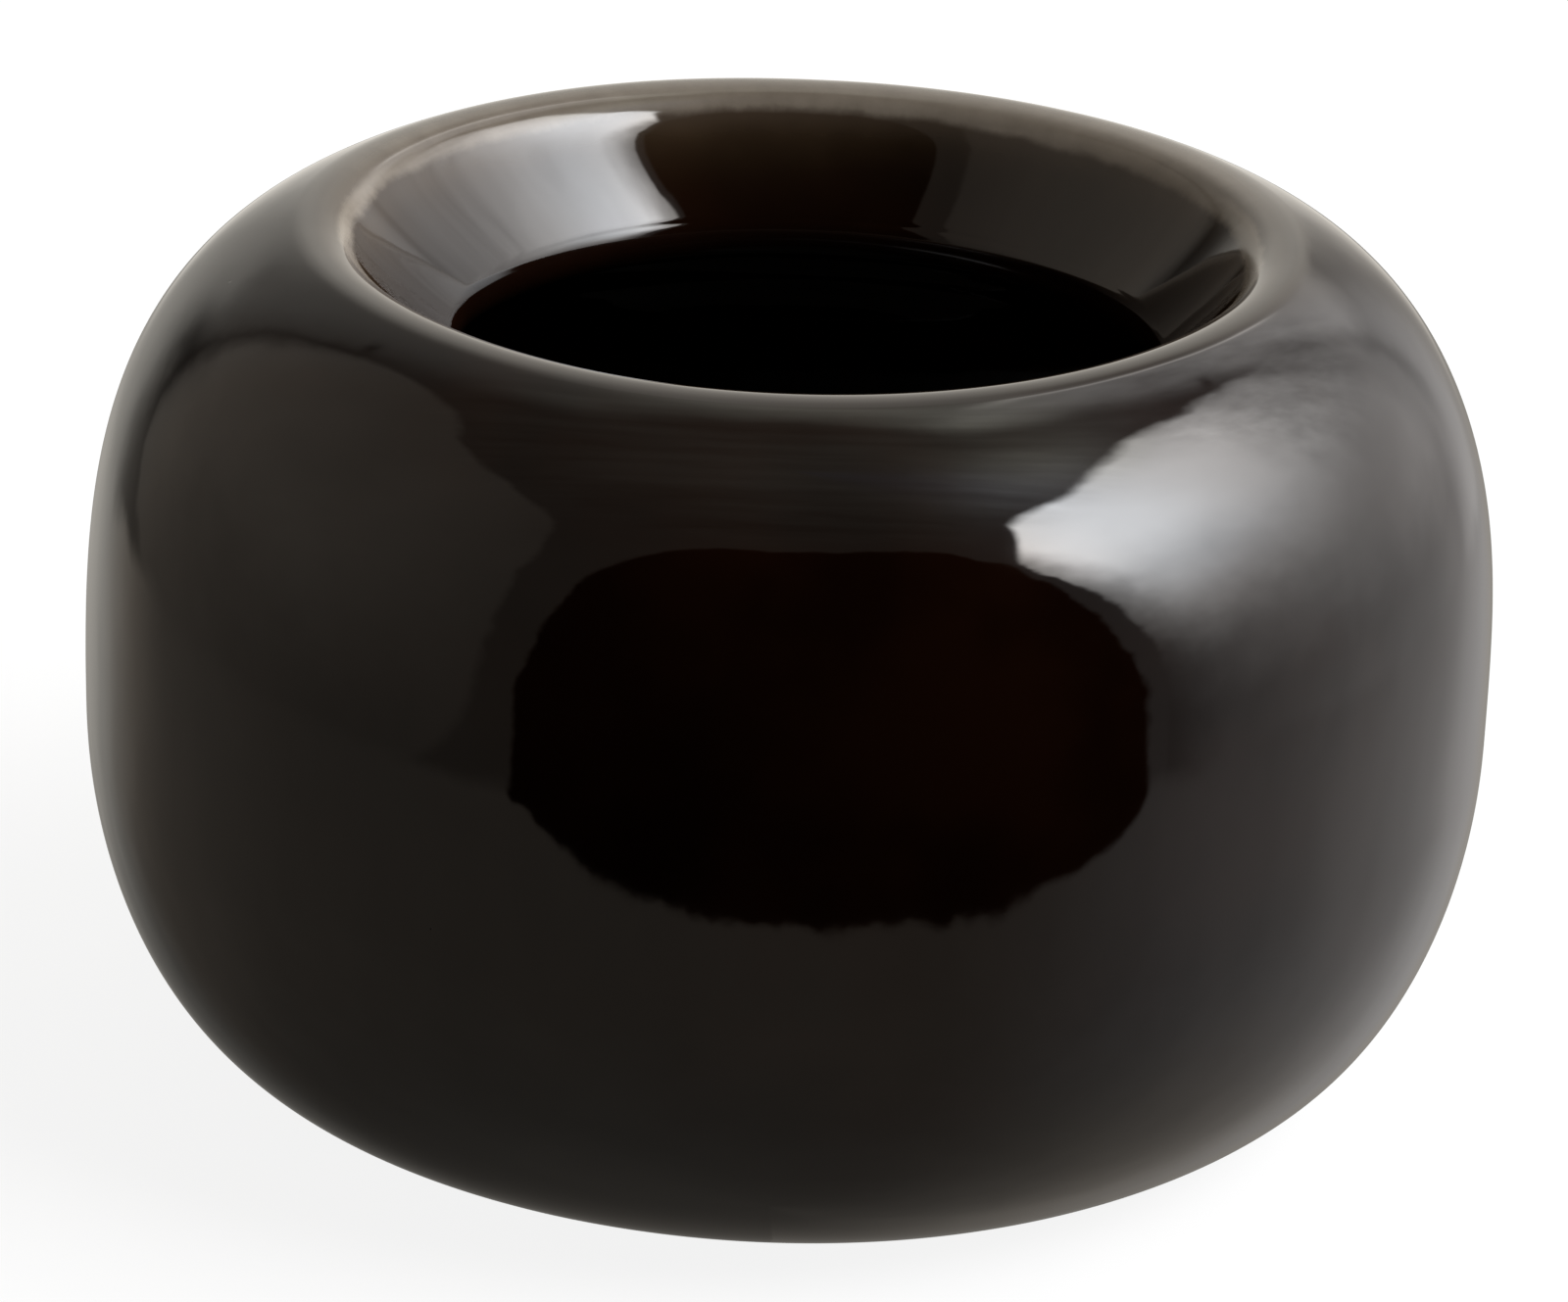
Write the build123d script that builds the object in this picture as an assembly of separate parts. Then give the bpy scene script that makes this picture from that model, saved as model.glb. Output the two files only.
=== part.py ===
from build123d import *

import math
import os

# A squat, glossy black-brown glazed pot: a fired clay body with its glaze coats as separate shells.
# Every piece is turned about the Z axis, so each is one closed section, drawn as (radius, height)
# and revolved. The origin is the centre of the foot ring's standing face. Millimetres, +Z up.

# Driving dimensions of the glazed outside
BELLY_R = 55.0             # widest outside radius
BODY_BASE_Z = 1.5          # underside of the body, held off the table by the foot ring
BELLY_Z = BODY_BASE_Z + 27.5
CROWN_Z = BODY_BASE_Z + 68.3
CROWN_CENTRE_R = 17.1      # centre of the curve above the belly
CROWN_POWER = 3.03         # 2 is an ellipse, more is squarer
UNDER_CENTRE_R = 38.7      # centre of the curve below the belly
UNDER_POWER = 2.08
LIP_START_R = 39.1         # where the rounded lip takes over from the crown

# The mouth's glazed surface, from the lip inwards. Slopes are degrees from straight down.
LIP_R = 4.2                # rounding of the lip
MOUTH_SLOPE = 37.0         # just inside the lip
THROAT_SLOPE = 43.0        # where the funnelled mouth ends
MOUTH_LENGTH = 10.1        # length of the funnelled wall
THROAT_EDGE_R = 2.5        # rounding of the throat's edge
ROOF_SLOPE = -90.0         # the throat's edge rolls under until it runs level outwards

# Clay and glaze
GLAZE = 0.4                # thickness of each coat
WALL = 5.2                 # clay wall at the belly
FLOOR_TOP_Z = 9.0          # glazed floor inside
CAVITY_UPPER_CENTRE_R = 31.0
CAVITY_UPPER_POWER = 3.0
CAVITY_LOWER_CENTRE_R = 31.0
CAVITY_LOWER_POWER = 2.3

# Foot
FOOT_OUTER_R = 36.8
FOOT_INNER_R = 31.2
FOOT_EDGE_R = 0.6          # softened edges of the standing face
GLAZE_STOP_GAP = 0.6       # bare clay left beside the foot ring where the glaze is wiped off

CAVITY_R = BELLY_R - WALL - 2 * GLAZE
SPLINE_POINTS = 14


def quarter_point(quarter, angle, offset):
    """A point on a quarter superellipse, at an angle from its widest point, moved out by offset."""
    (centre_r, centre_z), (width, height), power = quarter
    across = max(math.cos(angle), 0.0) ** (2 / power)
    along = max(math.sin(angle), 0.0) ** (2 / power)
    normal = Vector(across ** (power - 1) / width, along ** (power - 1) / height).normalized()
    return Vector(centre_r + width * across, centre_z + height * along) + normal * offset


def quarter_spline(quarter, first_angle, last_angle, offset):
    """A spline along a quarter superellipse from one angle to the other."""
    turn = (last_angle - first_angle) / (SPLINE_POINTS - 1)
    points = [quarter_point(quarter, first_angle + turn * i, offset) for i in range(SPLINE_POINTS)]
    tiny = turn * 1e-3
    start = quarter_point(quarter, first_angle + tiny, offset) - points[0]
    end = points[-1] - quarter_point(quarter, last_angle - tiny, offset)
    return Spline(*points, tangents=(start, end))


def upper_quarter(centre_r, belly_r, top_z, power):
    return (centre_r, BELLY_Z), (belly_r - centre_r, top_z - BELLY_Z), power


def slope_direction(slope):
    """The way down and inwards along a wall that leans the given degrees from straight down."""
    return Vector(-math.sin(math.radians(slope)), -math.cos(math.radians(slope)))


def slope_arc(start, start_slope, end_slope, radius):
    """A tangent arc that turns the section from one slope to the next."""
    return JernArc(start, slope_direction(start_slope), radius, start_slope - end_slope)


CROWN = upper_quarter(CROWN_CENTRE_R, BELLY_R, CROWN_Z, CROWN_POWER)
UNDER = (UNDER_CENTRE_R, BELLY_Z), (BELLY_R - UNDER_CENTRE_R, BODY_BASE_Z - BELLY_Z), UNDER_POWER
CROWN_END = math.acos(((LIP_START_R - CROWN_CENTRE_R) / (BELLY_R - CROWN_CENTRE_R)) ** (CROWN_POWER / 2))


def crown_end_slope():
    """The section's slope where the crown hands over to the lip."""
    step = quarter_point(CROWN, CROWN_END, 0) - quarter_point(CROWN, CROWN_END - 1e-5, 0)
    return 90 + math.degrees(math.atan2(step.Y, -step.X))


def outside_edges(depth):
    """The outside, from the foot to the lip, at a depth below the glazed surface."""
    base_z = BODY_BASE_Z + depth
    base = Line((FOOT_OUTER_R + GLAZE_STOP_GAP, base_z), (UNDER_CENTRE_R, base_z))
    under = quarter_spline(UNDER, math.pi / 2, 0, -depth)
    crown = quarter_spline(CROWN, 0, CROWN_END, -depth)
    return [base, under, crown]


def lip_edges(depth):
    """The rounded lip, from the crown to the top of the funnelled mouth."""
    start = quarter_point(CROWN, CROWN_END, -depth)
    return [slope_arc(start, crown_end_slope(), MOUTH_SLOPE, LIP_R - depth)]


def inside_edges(depth):
    """The inside, from the mouth's funnel under the rolled throat and down to the floor's centre."""
    hollow_r = MOUTH_LENGTH / math.radians(THROAT_SLOPE - MOUTH_SLOPE)
    funnel = slope_arc(lip_edges(depth)[0] @ 1, MOUTH_SLOPE, THROAT_SLOPE, hollow_r + depth)
    throat = slope_arc(funnel @ 1, THROAT_SLOPE, ROOF_SLOPE, THROAT_EDGE_R - depth)
    roof_z = (throat @ 1).Y
    upper = upper_quarter(CAVITY_UPPER_CENTRE_R, CAVITY_R, roof_z - depth, CAVITY_UPPER_POWER)
    lower_size = (CAVITY_R - CAVITY_LOWER_CENTRE_R, FLOOR_TOP_Z - BELLY_Z)
    lower = (CAVITY_LOWER_CENTRE_R, BELLY_Z), lower_size, CAVITY_LOWER_POWER
    roof = Line(throat @ 1, (CAVITY_UPPER_CENTRE_R, roof_z))
    shoulder = quarter_spline(upper, math.pi / 2, 0, depth)
    wall = quarter_spline(lower, 0, math.pi / 2, depth)
    floor = Line(wall @ 1, (0, FLOOR_TOP_Z - depth))
    return [funnel, throat, roof, shoulder, wall, floor]


def turn_section(edges):
    """A solid of revolution about Z from a closed loop of (radius, height) edges."""
    return revolve(Plane.XZ * make_face(edges), Axis.Z)


def coat(edges_at):
    """A glaze coat between the glazed surface and the clay, closed by a short line at each end."""
    surface = edges_at(0)
    clay = edges_at(GLAZE)
    ends = [Line(surface[0] @ 0, clay[0] @ 0), Line(surface[-1] @ 1, clay[-1] @ 1)]
    return turn_section(surface + clay + ends)


def clay_body():
    """The fired clay: foot ring, belly wall, rolled-in lip, funnelled mouth, throat and hollow."""
    walls = outside_edges(GLAZE) + lip_edges(GLAZE) + inside_edges(GLAZE)
    base_z = BODY_BASE_Z + GLAZE
    foot = Polyline(
        walls[-1] @ 1,
        (0, base_z),
        (FOOT_INNER_R, base_z),
        (FOOT_INNER_R, 0),
        (FOOT_OUTER_R, 0),
        (FOOT_OUTER_R, base_z),
        walls[0] @ 0,
    )
    body = turn_section(walls + [foot])
    standing_edges = body.edges().filter_by_position(Axis.Z, -0.01, 0.01)
    return fillet(standing_edges.filter_by(GeomType.CIRCLE), FOOT_EDGE_R)


def base_glaze():
    """The disc of glaze in the recess inside the foot ring."""
    disc = Cylinder(FOOT_INNER_R - GLAZE_STOP_GAP, GLAZE)
    return Pos(0, 0, BODY_BASE_Z + GLAZE / 2) * disc


PIECES = {
    "clay_body": clay_body(),
    "outer_glaze": coat(outside_edges),
    "rim_glaze": coat(lip_edges),
    "inner_glaze": coat(inside_edges),
    "base_glaze": base_glaze(),
}

os.makedirs("parts", exist_ok=True)
for name, piece in PIECES.items():
    piece.label = name
    export_step(piece, f"parts/{name}.step")
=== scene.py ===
import math

import bpy
import numpy as np
from mathutils import Matrix, Vector


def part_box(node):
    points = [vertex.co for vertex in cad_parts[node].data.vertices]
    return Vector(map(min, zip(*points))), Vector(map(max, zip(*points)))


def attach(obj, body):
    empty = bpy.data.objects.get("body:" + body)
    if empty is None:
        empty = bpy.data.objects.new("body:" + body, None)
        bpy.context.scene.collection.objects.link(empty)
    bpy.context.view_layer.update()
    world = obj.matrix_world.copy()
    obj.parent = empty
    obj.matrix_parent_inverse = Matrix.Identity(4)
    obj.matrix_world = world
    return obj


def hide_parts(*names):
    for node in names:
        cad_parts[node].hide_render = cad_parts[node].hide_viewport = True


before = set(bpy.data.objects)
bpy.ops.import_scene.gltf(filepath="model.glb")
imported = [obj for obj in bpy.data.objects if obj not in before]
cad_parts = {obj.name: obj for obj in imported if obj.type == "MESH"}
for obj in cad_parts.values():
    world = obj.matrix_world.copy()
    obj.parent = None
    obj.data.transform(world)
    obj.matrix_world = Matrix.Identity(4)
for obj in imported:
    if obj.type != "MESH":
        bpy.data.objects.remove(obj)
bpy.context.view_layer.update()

# ------------------------------------------------------------------------------------------------
# Sizes, in metres. The glaze's thickness, the base's height and radius and the floor's height come
# from the frame; the others repeat the design's. Slopes are degrees from straight down.
# ------------------------------------------------------------------------------------------------
MM = 0.001

inner_low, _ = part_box("inner_glaze")
base_low, base_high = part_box("base_glaze")

BELLY_R = 55.0 * MM
BODY_BASE_Z = base_low[2]
GLAZE = base_high[2] - base_low[2]
BELLY_Z = BODY_BASE_Z + 27.5 * MM
CROWN_Z = BODY_BASE_Z + 68.3 * MM
CROWN_CENTRE_R = 17.1 * MM          # centre of the curve above the belly
CROWN_POWER = 3.03                  # 2 is an ellipse, more is squarer
UNDER_CENTRE_R = 38.7 * MM
UNDER_POWER = 2.08

LIP_START_R = 39.1 * MM             # where the rounded lip takes over from the crown
LIP_R = 4.2 * MM
MOUTH_SLOPE = 37.0
THROAT_SLOPE = 43.0
MOUTH_LENGTH = 10.1 * MM
THROAT_EDGE_R = 2.5 * MM
ROOF_SLOPE = -90.0

CAVITY_R = 49.0 * MM
CAVITY_UPPER = 31.0 * MM, 3.0       # centre radius and power above the belly, then below it
CAVITY_LOWER = 31.0 * MM, 2.3
FLOOR_TOP_Z = inner_low[2] + GLAZE

FOOT_OUTER_R = 36.8 * MM
FOOT_INNER_R = 31.2 * MM
FOOT_EDGE_R = 0.6 * MM
GLAZE_STOP_R = FOOT_OUTER_R + 0.6 * MM      # bare clay shows between the foot ring and here
BASE_DISC_R = base_high[0]

SEGMENTS = 384                      # steps round every turned surface
CLAY_STEP = 4                       # rings of the skin to each ring of the clay behind it
SOFT_EDGE = np.linspace(0, math.pi / 2, 9)      # angles round a small rounded edge

# How the hand-made pot strays from a perfect turning
WAVE_COUNT = 14
WAVE_SPREAD = 2.6                   # usual size of the sum of that many waves
WAVE_HEIGHT = 0.03 * MM
THROAT_SHIFT = 0.6 * MM, 2.8 * MM   # the throat isn't quite in the middle of the mouth
THROAT_DROP = 8.0 * MM              # depth below the lip where the shift is complete
SHIFT_EASE = 0.15                   # share of that depth in which it gets going
SHIFT_END = 18.0 * MM               # depth where it has faded out again, in the hollow
SHIFT_FADE = 6.0 * MM
RIM_DIP = 0.55 * MM                 # how much the rim sags at the front
DIP_START_Z = 57.0 * MM             # the sag grows from here upwards
DIP_RISE = 10.0 * MM
DIP_POWER = 4                       # the sag keeps to the front: more is narrower


# ------------------------------------------------------------------------------------------------
# The section, as (radius, height) points
# ------------------------------------------------------------------------------------------------
def evenly(points, count):
    """The same polyline with count points at even steps along it."""
    along = distance_along(points)
    at = np.linspace(0.0, along[-1], count)
    return np.stack([np.interp(at, along, points[:, k]) for k in (0, 1)], axis=1)


def distance_along(points):
    steps = np.hypot(*np.diff(points, axis=0).T)
    return np.concatenate([[0.0], np.cumsum(steps)])


def joined(*stretches):
    """Stretches that meet end to end as one polyline, with each meeting point kept once."""
    return np.concatenate([stretches[0]] + [s[1:] for s in stretches[1:]])


def quarter(centre, size, power, first, last, offset, count):
    """Points along a quarter superellipse between two angles, moved out by offset."""
    angle = np.linspace(first, last, 2000)
    across = np.clip(np.cos(angle), 0, 1) ** (2 / power)
    along = np.clip(np.sin(angle), 0, 1) ** (2 / power)
    normal = np.stack([across ** (power - 1) / size[0], along ** (power - 1) / size[1]], axis=1)
    normal /= np.linalg.norm(normal, axis=1)[:, None]
    points = np.stack([centre[0] + size[0] * across, centre[1] + size[1] * along], axis=1)
    return evenly(points + normal * offset, count)


def slope_arc(start, first, last, radius, count):
    """A tangent arc whose slope, in degrees from straight down, turns from first to last."""
    slopes = np.radians(np.linspace(first, last, count))
    side = np.stack([-np.cos(slopes), np.sin(slopes)], axis=1) * radius * np.sign(first - last)
    return start + side - side[0]


def glazed_section(depth):
    """The glazed skin from beside the foot to the floor's centre, at a depth under its surface.

    Returns the three stretches that the outer, rim and inner coats cover.
    """
    base_z = BODY_BASE_Z + depth
    crown_size = BELLY_R - CROWN_CENTRE_R, CROWN_Z - BELLY_Z
    under_size = BELLY_R - UNDER_CENTRE_R, BODY_BASE_Z - BELLY_Z
    crown_end = math.acos(((LIP_START_R - CROWN_CENTRE_R) / crown_size[0]) ** (CROWN_POWER / 2))
    base = np.linspace((GLAZE_STOP_R, base_z), (UNDER_CENTRE_R, base_z), 6)
    under = quarter((UNDER_CENTRE_R, BELLY_Z), under_size, UNDER_POWER, math.pi / 2, 0, -depth, 90)
    crown = quarter((CROWN_CENTRE_R, BELLY_Z), crown_size, CROWN_POWER, 0, crown_end, -depth, 130)

    run, rise = crown[-1] - crown[-2]
    lip = slope_arc(crown[-1], 90 + math.degrees(math.atan2(rise, -run)), MOUTH_SLOPE, LIP_R - depth, 40)
    hollow_r = MOUTH_LENGTH / math.radians(THROAT_SLOPE - MOUTH_SLOPE)
    funnel = slope_arc(lip[-1], MOUTH_SLOPE, THROAT_SLOPE, hollow_r + depth, 44)
    throat = slope_arc(funnel[-1], THROAT_SLOPE, ROOF_SLOPE, THROAT_EDGE_R - depth, 40)

    roof_z = throat[-1, 1]
    upper_r, upper_power = CAVITY_UPPER
    lower_r, lower_power = CAVITY_LOWER
    upper_size = CAVITY_R - upper_r, roof_z - depth - BELLY_Z
    lower_size = CAVITY_R - lower_r, FLOOR_TOP_Z - BELLY_Z
    roof = np.linspace(throat[-1], (upper_r, roof_z), 4)
    shoulder = quarter((upper_r, BELLY_Z), upper_size, upper_power, math.pi / 2, 0, depth, 40)
    wall = quarter((lower_r, BELLY_Z), lower_size, lower_power, 0, math.pi / 2, depth, 40)
    floor = np.linspace(wall[-1], (0.0, FLOOR_TOP_Z - depth), 24)
    return joined(base, under, crown), lip, joined(funnel, throat, roof, shoulder, wall, floor)


# ------------------------------------------------------------------------------------------------
# Turned surfaces: a grid of points, ring by ring, with a normal at each point
# ------------------------------------------------------------------------------------------------
ANGLES = np.linspace(0, 2 * math.pi, SEGMENTS, endpoint=False)


def smooth(x):
    x = np.clip(x, 0, 1)
    return x * x * (3 - 2 * x)


def hand_waves(section):
    """Shallow waves all over the skin, always inwards, so nothing grows past the design's size."""
    rng = np.random.default_rng(7)
    along = distance_along(section)[:, None]
    waves = np.zeros((len(section), SEGMENTS))
    for _ in range(WAVE_COUNT):
        turns = rng.integers(0, 8)
        length = rng.uniform(22, 75) * MM
        phase = rng.uniform(0, 2 * math.pi)
        waves += np.sin(2 * math.pi * along / length + turns * ANGLES + phase)
    waves = WAVE_HEIGHT * np.clip(waves / WAVE_SPREAD - 2.0, -4.0, 0.0)
    fade = smooth(along / (12 * MM)) * smooth(section[:, :1] / (20 * MM))
    return waves * fade


def throat_shift(section, lip_end):
    """How far each ring goes along with the off-centre throat, from 0 to 1."""
    drop = section[lip_end, 1] - section[:, 1]
    down = np.clip(drop / THROAT_DROP, 0, 1)
    reached = (np.hypot(down, SHIFT_EASE) - SHIFT_EASE) / (math.hypot(1.0, SHIFT_EASE) - SHIFT_EASE)
    reached *= smooth((SHIFT_END - drop) / SHIFT_FADE)
    reached[:lip_end + 1] = 0.0
    return reached[:, None]


def step_round(points):
    """The way round each ring of a grid, at each of its points."""
    return np.roll(points, -1, axis=1) - np.roll(points, 1, axis=1)


def turned(section, waves=0.0, shift=0.0):
    """Turns a section about Z, moved in along its normals by waves and across by shift."""
    along = distance_along(section)
    run, rise = np.gradient(section, along, axis=0).T
    length = np.hypot(run, rise)
    radius = section[:, :1] + (rise / length)[:, None] * waves
    height = section[:, 1:] - (run / length)[:, None] * waves
    x = radius * np.cos(ANGLES) + shift * THROAT_SHIFT[0]
    y = radius * np.sin(ANGLES) + shift * THROAT_SHIFT[1]
    at_front = np.clip(-np.sin(ANGLES), 0, 1) ** DIP_POWER
    dip = RIM_DIP * at_front * smooth((height - DIP_START_Z) / DIP_RISE)
    points = np.stack([x, y, height - dip], axis=2)

    normals = np.cross(step_round(points), np.gradient(points, along, axis=0))
    length = np.linalg.norm(normals, axis=2, keepdims=True)
    pole = (0.0, 0.0, -math.copysign(1.0, section[-1, 0] - section[0, 0]))
    return points, np.where(length > 1e-12, normals / np.maximum(length, 1e-12), pole)


def part_of(grid, rings):
    points, normals = grid
    return points[rings], normals[rings]


def reversed_grid(grid):
    points, normals = grid
    return points[::-1], -normals[::-1]


def end_face(from_grid, to_grid):
    """The narrow face from the last ring of one grid to the first ring of the next."""
    points = np.stack([from_grid[0][-1], to_grid[0][0]])
    normals = np.cross(step_round(points), np.broadcast_to(points[1] - points[0], points.shape))
    return points, normals / np.linalg.norm(normals, axis=2, keepdims=True)


def closed_mesh(name, grids):
    """One watertight mesh from grids that meet ring to ring, keeping their normals."""
    points = np.concatenate([g[0].reshape(-1, 3) for g in grids])
    normals = np.concatenate([g[1].reshape(-1, 3) for g in grids])
    quads = []
    first = 0
    for grid_points, _ in grids:
        rings = len(grid_points)
        index = first + np.arange(rings * SEGMENTS).reshape(rings, SEGMENTS)
        beside = np.roll(index, -1, axis=1)
        quads.append(np.stack([index[:-1], beside[:-1], beside[1:], index[1:]], axis=2).reshape(-1, 4))
        first += rings * SEGMENTS
    quads = np.concatenate(quads)

    vertices, vertex_of = np.unique(np.round(points, 9), axis=0, return_inverse=True)
    corners = vertex_of.ravel()[quads]
    kept = corners != np.roll(corners, 1, axis=1)    # a quad on the axis has two corners in one place
    whole = kept.all(axis=1)
    faces = corners[whole].tolist() + [c[k].tolist() for c, k in zip(corners[~whole], kept[~whole])]
    normal_of = np.concatenate([quads[whole].ravel(), quads[~whole][kept[~whole]]])
    mesh = bpy.data.meshes.new(name)
    mesh.from_pydata(vertices.tolist(), [], faces)
    mesh.shade_smooth()
    mesh.normals_split_custom_set(normals[normal_of].tolist())
    return mesh


# ------------------------------------------------------------------------------------------------
# Shader helpers
# ------------------------------------------------------------------------------------------------
class Field:
    """A number that varies over a surface or the sky: a shader socket with ordinary arithmetic."""

    def __init__(self, tree, socket):
        self.tree = tree
        self.socket = socket

    def math(self, operation, *others):
        node = self.tree.nodes.new("ShaderNodeMath")
        node.operation = operation
        for socket, value in zip(node.inputs, (self, *others)):
            if isinstance(value, Field):
                self.tree.links.new(value.socket, socket)
            else:
                socket.default_value = value
        return Field(self.tree, node.outputs[0])

    def __add__(self, other):
        return self.math("ADD", other)

    def __sub__(self, other):
        return self.math("SUBTRACT", other)

    def __mul__(self, other):
        return self.math("MULTIPLY", other)

    def __rsub__(self, other):
        return self * -1.0 + other

    __radd__ = __add__
    __rmul__ = __mul__

    def ramp(self, low, high):
        """Smoothly from 0 at low to 1 at high; low may be the larger."""
        node = self.tree.nodes.new("ShaderNodeMapRange")
        node.interpolation_type = "SMOOTHSTEP"
        self.tree.links.new(self.socket, node.inputs["Value"])
        node.inputs["From Min"].default_value = low
        node.inputs["From Max"].default_value = high
        return Field(self.tree, node.outputs["Result"])

    def bell(self, centre, width):
        """1 at centre, falling to about a third a width away on each side."""
        away = (self - centre) * (1.0 / width)
        return (away * away * -1.0).math("EXPONENT")

    def towards(self, other, share):
        """This field, moved a share of the way to another."""
        return self + (other - self) * share


def xyz(tree, socket):
    node = tree.nodes.new("ShaderNodeSeparateXYZ")
    tree.links.new(socket, node.inputs[0])
    return [Field(tree, output) for output in node.outputs]


def colour_mix(tree, share, first, second):
    """The colour a share of the way from first to second, each a triple or a socket."""
    node = tree.nodes.new("ShaderNodeMix")
    node.data_type = "RGBA"
    tree.links.new(share.socket, node.inputs["Factor"])
    colours = [socket for socket in node.inputs if socket.type == "RGBA"]
    for socket, value in zip(colours, (first, second)):
        if isinstance(value, tuple):
            socket.default_value = (*value, 1.0)
        else:
            tree.links.new(value, socket)
    return next(output for output in node.outputs if output.type == "RGBA")


def noise(tree, place, size, detail=2.0, roughness=0.5):
    """Soft noise, mostly from 0.3 to 0.7, in blobs about size across."""
    node = tree.nodes.new("ShaderNodeTexNoise")
    node.inputs["Scale"].default_value = 1.0 / size
    node.inputs["Detail"].default_value = detail
    node.inputs["Roughness"].default_value = roughness
    tree.links.new(place, node.inputs["Vector"])
    return Field(tree, node.outputs[0])


def stretched(tree, place, scale):
    """A place with each of its axes multiplied by its own scale."""
    node = tree.nodes.new("ShaderNodeVectorMath")
    node.operation = "MULTIPLY"
    tree.links.new(place, node.inputs[0])
    node.inputs[1].default_value = scale
    return node.outputs[0]


def pinholes(tree, place, spacing, radius, share):
    """Round pits, 1 in the middle of each, in a share of the cells of a loose grid."""
    node = tree.nodes.new("ShaderNodeTexVoronoi")
    node.inputs["Scale"].default_value = 1.0 / spacing
    tree.links.new(place, node.inputs["Vector"])
    kept = xyz(tree, node.outputs["Color"])[0].ramp(1.0 - share, 1.001 - share)
    return Field(tree, node.outputs["Distance"]).ramp(radius / spacing, 0.0) * kept


def bump(tree, shader, *layers):
    """Stacks bumps on a shader; each layer is a field and how high a step of 1 in it stands."""
    normal = None
    for field, height in layers:
        node = tree.nodes.new("ShaderNodeBump")
        node.inputs["Distance"].default_value = height
        tree.links.new(field.socket, node.inputs["Height"])
        if normal is not None:
            tree.links.new(normal, node.inputs["Normal"])
        normal = node.outputs["Normal"]
    tree.links.new(normal, shader.inputs["Normal"])


def new_material(name):
    material = bpy.data.materials.new(name)
    material.use_nodes = True
    tree = material.node_tree
    place = tree.nodes.new("ShaderNodeTexCoord").outputs["Object"]
    return material, tree, tree.nodes["Principled BSDF"], place


# ------------------------------------------------------------------------------------------------
# Materials
# ------------------------------------------------------------------------------------------------
GLAZE_DARK = (0.0028, 0.0008, 0.0003)
GLAZE_BROWN = (0.0052, 0.0016, 0.0006)
MOUTH_AMBER = (0.052, 0.034, 0.019)
# Painted sheen: a lighter brown-grey for the lip's top, standing in for the ceiling's reflection
LIP_SHEEN_PAINT = (0.030, 0.022, 0.016)
LIP_BREAK = (0.190, 0.163, 0.132)
AMBER_DEPTH = 2.1 * MM              # the amber fades in about this depth


def glaze_material(name, lip_centre, wall_top_z):
    """Glossy black-brown glaze: amber where it thins down the mouth, pale where it breaks on the lip,
    painted sheen atop the lip.
    """
    material, tree, shader, place = new_material(name)
    x, y, z = xyz(tree, place)
    radius = (x * x + y * y).math("SQRT")
    mottle = noise(tree, place, 2.6 * MM, 4.0, 0.6)
    streak = noise(tree, place, 9.0 * MM, 3.0, 0.55)

    inwards = lip_centre[0] - radius
    above = z - lip_centre[1]
    turn = above.math("ARCTAN2", inwards) * math.degrees(1.0)     # 0 faces the axis, 90 faces up
    from_centre = (inwards * inwards + above * above).math("SQRT")
    on_lip = from_centre.ramp(1.45 * LIP_R, 1.05 * LIP_R)
    wander = turn + (mottle - 0.5) * 10.0 + (streak - 0.5) * 18.0
    behind = y.math("DIVIDE", radius).ramp(-0.1, 0.6)
    to_right = x.math("DIVIDE", radius).ramp(-0.2, 0.8)
    outer_edge = wander.ramp(63.0, 51.0).towards(wander.ramp(125.0, 80.0) * 0.45, behind)
    # The break is made paler and wider towards the right-hand side as well as patchy
    patchy_paler_right = 0.55 + to_right * 0.3 + mottle * 0.8
    pale = (wander + to_right * 5.0).ramp(33.0, 46.0) * outer_edge * on_lip * patchy_paler_right
    # Painted sheen: where the lip faces up towards the ceiling its colour is lightened in place of a
    # reflection
    lip_sheen = turn.ramp(5.0, 40.0) * turn.ramp(125.0, 60.0) * on_lip * (0.3 + streak * 0.8)

    depth = (wall_top_z - z).math("MAXIMUM", 0.0)
    in_mouth = radius.ramp(37.5 * MM, 35.5 * MM) * z.ramp(BELLY_Z, BELLY_Z + 10 * MM)
    thin = (depth * (-1 / AMBER_DEPTH)).math("EXPONENT") * in_mouth * (0.75 + (streak - 0.5) * 1.2)

    cloud = noise(tree, place, 15.0 * MM, 3.0)
    dark = colour_mix(tree, cloud.ramp(0.35, 0.68), GLAZE_DARK, GLAZE_BROWN)
    amber = colour_mix(tree, thin, dark, MOUTH_AMBER)
    with_lip_sheen = colour_mix(tree, lip_sheen, amber, LIP_SHEEN_PAINT)
    colour = colour_mix(tree, pale, with_lip_sheen, LIP_BREAK)
    tree.links.new(colour, shader.inputs["Base Color"])

    smear = noise(tree, place, 5.0 * MM, 3.0, 0.6)
    under_throat = depth.ramp(8.2 * MM, 9.2 * MM) * in_mouth      # duller below the throat's edge
    gloss = smear.ramp(0.45, 0.8) * 0.02 + pale * 0.10 + under_throat * 0.12 + 0.035
    tree.links.new(gloss.socket, shader.inputs["Roughness"])
    shader.inputs["IOR"].default_value = 1.52

    swell = noise(tree, place, 8.0 * MM, 1.0)
    peel = noise(tree, place, 1.2 * MM, 1.0)
    pits = pinholes(tree, place, 6.0 * MM, 0.16 * MM, 0.2)
    bump(tree, shader, (swell, 0.03 * MM), (peel, 0.0012 * MM), (pits, -0.05 * MM))
    return material


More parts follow.
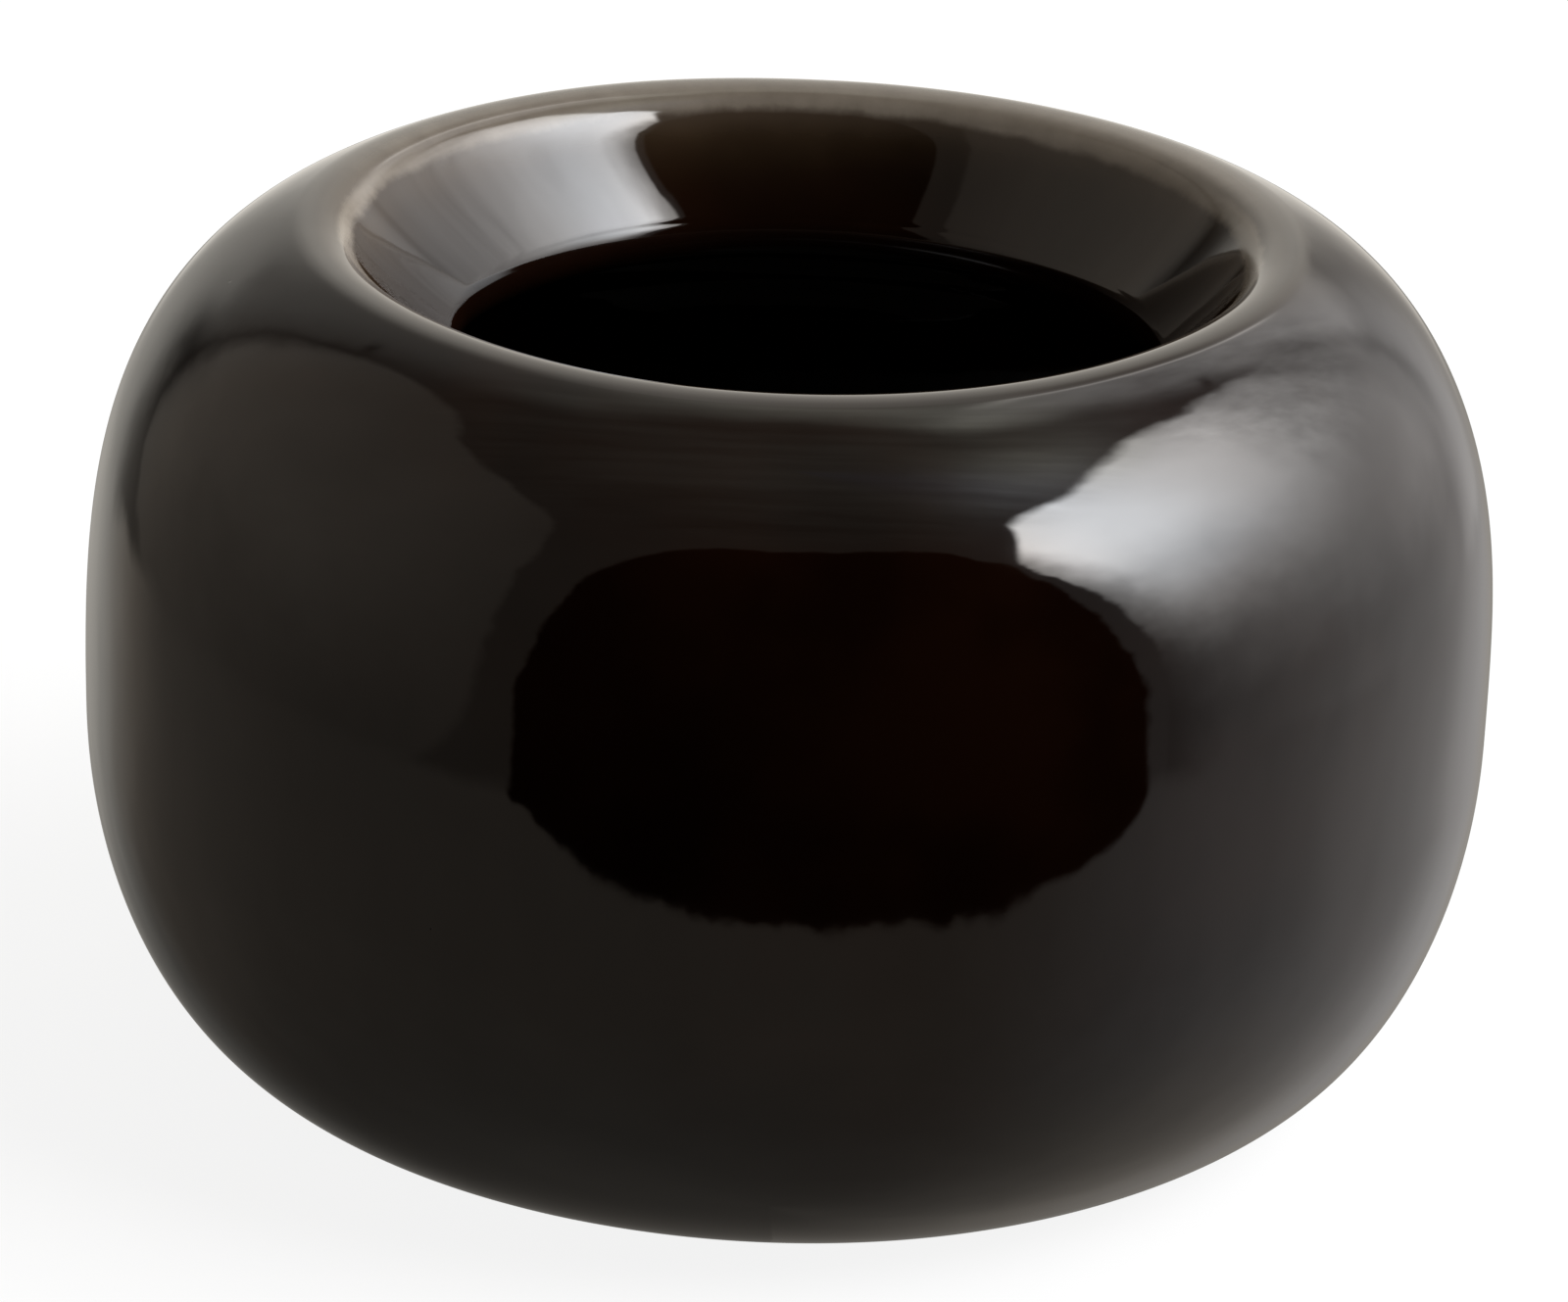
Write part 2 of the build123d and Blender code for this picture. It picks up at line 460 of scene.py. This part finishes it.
def clay_material():
    """Bare fired clay: warm, matt and sandy, darker where the standing face has been rubbed."""
    material, tree, shader, place = new_material("fired_clay")
    z = xyz(tree, place)[2]
    cloud = noise(tree, place, 6.0 * MM, 4.0, 0.6)
    grain = noise(tree, place, 0.35 * MM, 2.0)
    specks = noise(tree, place, 0.8 * MM, 1.0).ramp(0.66, 0.72)
    rubbed = z.ramp(0.4 * MM, 0.05 * MM) * cloud
    clay = colour_mix(tree, cloud.ramp(0.3, 0.7), (0.30, 0.205, 0.135), (0.40, 0.29, 0.20))
    worn = colour_mix(tree, rubbed, clay, (0.17, 0.13, 0.10))
    colour = colour_mix(tree, specks * 0.7, worn, (0.09, 0.06, 0.04))
    tree.links.new(colour, shader.inputs["Base Color"])
    tree.links.new((grain * 0.2 + 0.72).socket, shader.inputs["Roughness"])
    bump(tree, shader, (cloud, 0.08 * MM), (grain, 0.05 * MM))
    return material


# ------------------------------------------------------------------------------------------------
# The pot
# ------------------------------------------------------------------------------------------------
def add_piece(node, grids, material):
    piece = bpy.data.objects.new(f"{node}_turned", closed_mesh(f"{node}_turned", grids))
    piece.data.materials.append(material)
    bpy.context.scene.collection.objects.link(piece)
    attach(piece, "root")
    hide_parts(node)
    return piece


def coat_grids(skin, clay, first, last):
    """The grids round one coat of glaze, between two rings of the skin."""
    front = part_of(skin, range(first, last + 1))
    back = reversed_grid(part_of(clay, [*range(first, last, CLAY_STEP), last]))
    if last == len(skin[0]) - 1:
        return [front, back, end_face(back, front)]      # closed on the axis
    return [front, end_face(front, back), back, end_face(back, front)]


def foot_section():
    """The clay's underside, from the axis out over the foot ring to where the glaze stops."""
    base_z = BODY_BASE_Z + GLAZE
    growing = FOOT_EDGE_R * (1 - np.cos(SOFT_EDGE))
    shrinking = FOOT_EDGE_R * (1 - np.sin(SOFT_EDGE))
    inner_edge = np.stack([FOOT_INNER_R + growing, shrinking], axis=1)
    outer_edge = np.stack([FOOT_OUTER_R - shrinking, growing], axis=1)
    return [
        np.linspace((0.0, base_z), (FOOT_INNER_R, base_z), 6),
        np.array([(FOOT_INNER_R, base_z), inner_edge[0]]),
        inner_edge,
        np.array([inner_edge[-1], outer_edge[0]]),
        outer_edge,
        np.array([outer_edge[-1], (FOOT_OUTER_R, base_z)]),
        np.array([(FOOT_OUTER_R, base_z), (GLAZE_STOP_R, base_z)]),
    ]


def base_disc_section():
    """The disc of glaze in the recess, with an edge rounded as melted glaze is."""
    edge_r = BASE_DISC_R - GLAZE + GLAZE * np.sin(SOFT_EDGE)
    edge = np.stack([edge_r, BODY_BASE_Z + GLAZE * (1 - np.cos(SOFT_EDGE))], axis=1)
    top_z = BODY_BASE_Z + GLAZE
    return [
        np.linspace((0.0, BODY_BASE_Z), edge[0], 12),
        edge,
        np.linspace(edge[-1], (0.0, top_z), 3),
    ]


outer_part, lip_part, inner_part = glazed_section(0.0)
lip_start = len(outer_part) - 1
lip_end = lip_start + len(lip_part) - 1
skin_section = joined(outer_part, lip_part, inner_part)
last_ring = len(skin_section) - 1
waves = hand_waves(skin_section)
shift = throat_shift(skin_section, lip_end)
skin = turned(skin_section, waves, shift)
clay = turned(joined(*glazed_section(GLAZE)), waves, shift)

mouth_slope = math.radians(MOUTH_SLOPE)
lip_centre = (
    lip_part[-1, 0] + LIP_R * math.cos(mouth_slope),
    lip_part[-1, 1] - LIP_R * math.sin(mouth_slope),
)
wall_top_z = lip_part[-1, 1]
dark_glaze = glaze_material("dark_glaze", lip_centre, wall_top_z)
rim_glaze = glaze_material("rim_glaze", lip_centre, wall_top_z)

add_piece("outer_glaze", coat_grids(skin, clay, 0, lip_start), dark_glaze)
add_piece("rim_glaze", coat_grids(skin, clay, lip_start, lip_end), rim_glaze)
add_piece("inner_glaze", coat_grids(skin, clay, lip_end, last_ring), dark_glaze)
add_piece("base_glaze", [turned(s) for s in base_disc_section()], dark_glaze)
foot = [turned(s) for s in foot_section()]
clay_skin = part_of(clay, [*range(0, last_ring, CLAY_STEP), last_ring])
add_piece("clay_body", [clay_skin, *foot], clay_material())


# ------------------------------------------------------------------------------------------------
# Light: a white cloth tent with an open, dark front, lit through its right-hand wall. Directions
# are degrees from the pot: azimuth 0 faces the front and 90 the right, elevation 90 is straight up.
# Levels are strengths of the world's light.
# ------------------------------------------------------------------------------------------------
OPENING_MIDDLE = 7.75
OPENING_HALF = 50.0
OPENING_TOP = 55.0
SILL = -23.5                        # the middle of the opening's lower edge
LEFT_WALL_MIDDLE = -93, 20
LEFT_WALL_HALF = 45, 37
LAMP_WALL_MIDDLE = 85
LAMP_WALL_HALF = 45
LAMP_WALL_TOP = 60.0
LAMP_WALL_START = 61.0              # its edge beside the opening, at the pot's height
LAMP_LEVEL = 14.6
CEILING_LEVEL = 0.125
STRIP_LEVEL = 0.16                  # what the lamp's wall fades to beside the opening


def between(field, low, high, soft):
    """1 from low to high, fading to 0 over soft on each side."""
    return field.ramp(low - soft, low + soft) * field.ramp(high + soft, high - soft)


def back_wall(azimuth, elevation):
    """The creased cloth behind the pot: brighter above, with one hard fold to the right of the middle."""
    low = 0.36 + 0.5 * azimuth.ramp(164, 148) * azimuth.ramp(100, 140)
    low = low + 0.2 * azimuth.ramp(-135, -148) + 0.4 * azimuth.ramp(-160, -172)
    low = low + 0.6 * azimuth.ramp(158, 172)
    fold = 1.4 * azimuth.bell(156.5, 2.2) * between(elevation, 30, 60, 4)
    beside_fold = 0.5 * azimuth.bell(164, 7) * elevation.bell(41, 10)
    high = 0.35 + 0.6 * (azimuth.ramp(-150, -175) + azimuth.ramp(125, 150))
    high = high + 0.5 * azimuth.bell(150, 7) + fold - beside_fold
    return low.towards(high, elevation.ramp(13, 20))


def right_wall(azimuth, elevation):
    """The wall the lamp shines through, hottest high up beside the opening."""
    past_lamp = azimuth - (elevation - 32) * 0.5
    lamp = LAMP_LEVEL * past_lamp.ramp(146, 42) * elevation.ramp(3, 44) * elevation.ramp(100, 45)
    cloth = (0.34 + 0.42 * azimuth.ramp(55, 105)) * (1.0 + 0.8 * elevation.ramp(-8, 8))
    return lamp + cloth


def left_wall(azimuth, elevation):
    """The dim wall across from the lamp, a little brighter towards the back."""
    return 0.16 + 0.19 * azimuth.ramp(-20, -85) * elevation.ramp(-25, 20) * elevation.ramp(95, 30)


def table(azimuth, elevation):
    """The table the pot stands on, lit from the right."""
    lit = azimuth.ramp(20, 125) * azimuth.ramp(180, 140) * elevation.ramp(-100, -20)
    far_left = azimuth.ramp(-115, -150) * azimuth.ramp(-180, -155) * elevation.bell(-18, 9)
    shade = 1.0 - 0.55 * azimuth.bell(-130, 50) * elevation.bell(-52, 25)
    return (0.21 + 0.52 * lit + 0.45 * far_left) * shade


def tent_light(azimuth, elevation):
    """How bright the tent is each way from the pot, laid on from the ceiling to the dark opening."""
    raised = elevation.math("MAXIMUM", 0.0)
    over_lamp = azimuth.bell(95, 30) * elevation.bell(66, 9)
    over_right = azimuth.ramp(20, 80) * azimuth.ramp(180, 150) * elevation.ramp(90, 60)
    ceiling = CEILING_LEVEL + 0.1 * elevation.ramp(64, 90) + 0.16 * over_right
    light = ceiling + 0.9 * over_lamp

    at_back = azimuth.ramp(-132, -152) + azimuth.ramp(132, 143)
    back_top = elevation.ramp(72, 63)
    light = light.towards(back_wall(azimuth, elevation), at_back * back_top)

    # The left wall is a rounded rectangle
    left_across = ((azimuth - LEFT_WALL_MIDDLE[0]) * (1 / LEFT_WALL_HALF[0])).math("POWER", 4.0)
    left_up = ((elevation - LEFT_WALL_MIDDLE[1]) * (1 / LEFT_WALL_HALF[1])).math("POWER", 4.0)
    in_left = (left_across + left_up).ramp(1.1, 0.9)
    light = light.towards(left_wall(azimuth, elevation), in_left)

    # The lamp's wall has a rounded top that slants down towards the opening
    from_middle = ((azimuth - LAMP_WALL_MIDDLE) * (1 / LAMP_WALL_HALF)).math("ABSOLUTE")
    lamp_top = LAMP_WALL_TOP - from_middle.math("POWER", 3.0) * 12.0
    lamp_top = lamp_top.math("MINIMUM", azimuth * 1.3 - 16.0)
    lamp_edge = azimuth - (LAMP_WALL_START - raised * raised * 0.0088)
    in_right = (lamp_top - elevation).ramp(-1.5, 2.0) * lamp_edge.ramp(-0.7, 0.7)
    in_right = in_right * azimuth.ramp(146, 134)
    full = lamp_edge.ramp(-6, 13)
    light = light.towards(right_wall(azimuth, elevation) * full + (1.0 - full) * STRIP_LEVEL, in_right)

    # Dark creases and marks where the side walls meet the back, and the table below everything
    creases = azimuth.bell(-137.5, 2.2) * between(elevation, -4, 44, 6)
    creases = creases + 0.5 * azimuth.bell(145.5, 2.2) * between(elevation, 0, 34, 8)
    left_mark = azimuth.bell(-141, 2.5) * elevation.bell(42.5, 1.0)
    right_mark = azimuth.bell(139, 2.5) * elevation.bell(44.5, 1.0)
    light = light * (1.0 - 0.45 * creases) * (1.0 - 0.6 * (left_mark + right_mark))
    light = light * (1.0 - 0.65 * azimuth.bell(-141, 7) * elevation.bell(8, 6))
    light = light.towards(table(azimuth, elevation), elevation.ramp(-12.5, -15.5))

    # The opening is rounded at the top, leans a little and has a curved sill
    from_middle = (azimuth - (OPENING_MIDDLE - raised * 0.07)).math("ABSOLUTE")
    across = from_middle.math("DIVIDE", OPENING_HALF - raised * 0.2)
    up = raised * (1 / OPENING_TOP)
    inside = (across.math("POWER", 4.0) + up.math("POWER", 5.0)).ramp(1.06, 0.94)
    sill = ((azimuth - 8.0) * (1 / OPENING_HALF)).math("POWER", 4.0) * 8.0 + SILL
    return light * (1.0 - inside * (elevation - sill).ramp(-0.5, 0.5))


def light_world():
    """The tent as the world's light; the camera itself sees plain white past the floor."""
    world = bpy.data.worlds.new("light_tent")
    bpy.context.scene.world = world
    world.use_nodes = True
    tree = world.node_tree
    direction = tree.nodes.new("ShaderNodeTexCoord").outputs["Generated"]
    x, y, z = xyz(tree, direction)
    azimuth = x.math("ARCTAN2", y * -1.0) * math.degrees(1.0)
    elevation = z.math("ARCSINE") * math.degrees(1.0)

    # The cloth isn't flat: its edges waver, the ceiling has folds and the lamp's wall is draped
    cloth = noise(tree, direction, 0.35, 3.0)
    crumple = noise(tree, direction, 0.09, 2.0)
    wavy = azimuth + (crumple - 0.5) * 3.0, elevation + (cloth - 0.5) * 5.0 + (crumple - 0.5) * 2.0
    folds = noise(tree, stretched(tree, direction, (1.0, 6.0, 1.0)), 0.45, 3.0, 0.6) - 0.5
    drape = noise(tree, stretched(tree, direction, (6.0, 6.0, 1.0)), 0.5, 3.0, 0.6) - 0.5
    drape_place = azimuth.ramp(105, 125) * azimuth.ramp(160, 145) * between(elevation, 22, 56, 8)
    light = tent_light(*wavy) * (0.85 + cloth * 0.3)
    light = light * (1.0 + folds * 1.1 * elevation.ramp(50, 64)) * (1.0 + drape * 1.2 * drape_place)

    # Warm on the left, nearly neutral on the right, cooler at the lamp
    to_right = azimuth.ramp(20, 70) * azimuth.ramp(180, 150)
    to_lamp = azimuth.bell(75, 25) * elevation.ramp(10, 30)
    to_ceiling = elevation.ramp(50, 70)
    to_back = azimuth.ramp(-125, -148) + azimuth.ramp(150, 175)
    side = colour_mix(tree, to_right, (1.16, 1.01, 0.85), (1.03, 1.00, 0.98))
    wall = colour_mix(tree, to_back, side, (1.05, 1.00, 0.91))
    lower = colour_mix(tree, elevation.ramp(-30, -65), wall, (1.10, 1.00, 0.88))
    upper = colour_mix(tree, to_ceiling, lower, (1.05, 1.04, 0.90))
    tint = colour_mix(tree, to_lamp, upper, (0.98, 1.00, 1.03))
    background = tree.nodes["Background"]
    tree.links.new(light.socket, background.inputs["Strength"])
    tree.links.new(tint, background.inputs["Color"])

    # The camera sees plain white instead
    plain = tree.nodes.new("ShaderNodeBackground")
    is_camera = tree.nodes.new("ShaderNodeLightPath").outputs["Is Camera Ray"]
    chosen = tree.nodes.new("ShaderNodeMixShader")
    tree.links.new(is_camera, chosen.inputs[0])
    tree.links.new(background.outputs[0], chosen.inputs[1])
    tree.links.new(plain.outputs[0], chosen.inputs[2])
    tree.links.new(chosen.outputs[0], tree.nodes["World Output"].inputs["Surface"])
    plain.inputs["Color"].default_value = (1.0, 1.0, 1.0, 1.0)


def floor():
    """A pale floor that takes the pot's soft shadow. Only the camera sees it: the tent lights the pot."""
    half = 60 * BELLY_R
    z = -0.1 * MM                       # clear of the foot, which stands at 0
    grey, glow = 0.11, 0.88
    corners = [(-half, -half, z), (half, -half, z), (half, half, z), (-half, half, z)]
    mesh = bpy.data.meshes.new("floor")
    mesh.from_pydata(corners, [], [(0, 1, 2, 3)])
    plane = bpy.data.objects.new("floor", mesh)
    bpy.context.scene.collection.objects.link(plane)
    material, _, shader, _ = new_material("pale_floor")
    shader.inputs["Base Color"].default_value = (grey, grey, grey, 1.0)
    shader.inputs["Roughness"].default_value = 1.0
    shader.inputs["Specular IOR Level"].default_value = 0.0
    shader.inputs["Emission Color"].default_value = (1.0, 1.0, 1.0, 1.0)
    shader.inputs["Emission Strength"].default_value = glow
    mesh.materials.append(material)
    plane.visible_glossy = False
    plane.visible_diffuse = False


def camera():
    """Looks down on the pot from the front, rolled a little, as a long lens about 0.44 m away does."""
    distance = 8.0 * BELLY_R
    down = math.radians(22.16)
    roll = math.radians(1.9)
    pivot_z = BODY_BASE_Z + 0.62 * BELLY_R          # the height the camera is turned about
    target = Vector((-0.0052 * BELLY_R, 0.0, BODY_BASE_Z + 0.5501 * BELLY_R))
    place = Vector((0.0, -math.cos(down), math.sin(down))) * distance
    place.z += pivot_z
    forward = (target - place).normalized()
    level = forward.cross(Vector((0.0, 0.0, 1.0))).normalized()
    upright = level.cross(forward)
    right = math.cos(roll) * level + math.sin(roll) * upright
    up = right.cross(forward)
    lens = bpy.data.cameras.new("camera")
    lens.lens = 128.4
    lens.sensor_width = 36.0
    lens.clip_start = 0.01
    eye = bpy.data.objects.new("camera", lens)
    bpy.context.scene.collection.objects.link(eye)
    eye.matrix_world = Matrix.Translation(place) @ Matrix((right, up, -forward)).transposed().to_4x4()
    bpy.context.scene.camera = eye


light_world()
floor()
camera()
bpy.context.scene.view_settings.view_transform = "Standard"
